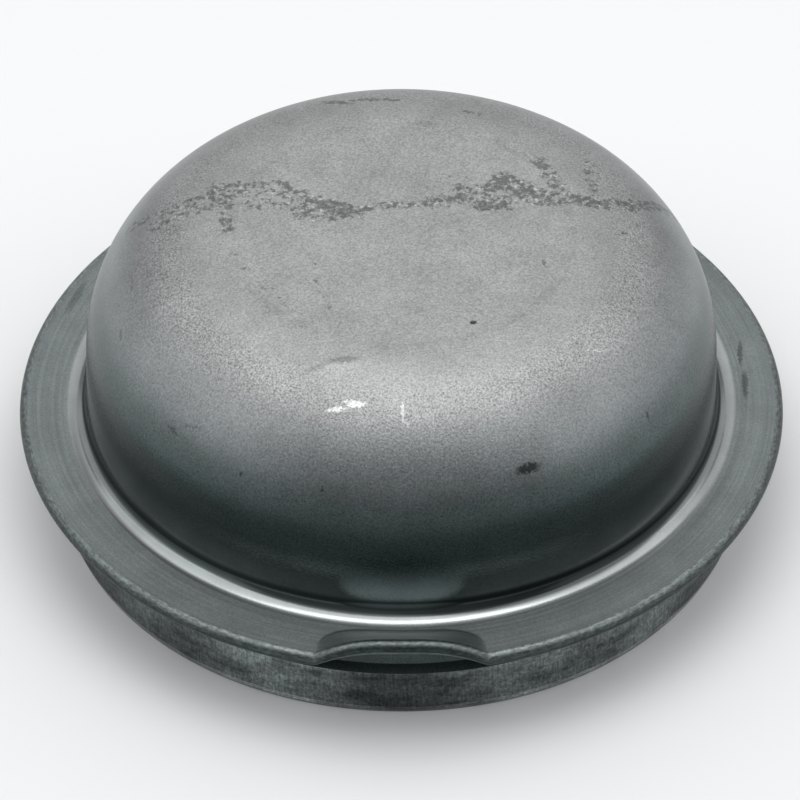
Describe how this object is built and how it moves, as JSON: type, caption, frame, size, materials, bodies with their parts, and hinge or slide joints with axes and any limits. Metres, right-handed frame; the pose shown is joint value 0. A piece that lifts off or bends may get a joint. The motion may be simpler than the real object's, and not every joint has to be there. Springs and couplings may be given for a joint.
{
  "type": "hub cap",
  "caption": "Domed press-in hub cap of drawn sheet steel, with a folded flange, a short press-fit skirt and a raised pry notch, that closes a wheel hub's bore.",
  "frame": {"origin": "on the cap's axis, at the skirt's bottom edge", "axes": "+Z along the cap's axis towards the top of the dome, -Y towards the pry notch"},
  "size_m": [0.1, 0.0997, 0.0423],
  "materials": {
    "steel": "bare drawn sheet, satin, with stains and scuffs"
  },
  "bodies": {
    "root": {"hub_cap": "steel"}
  },
  "joints": []
}
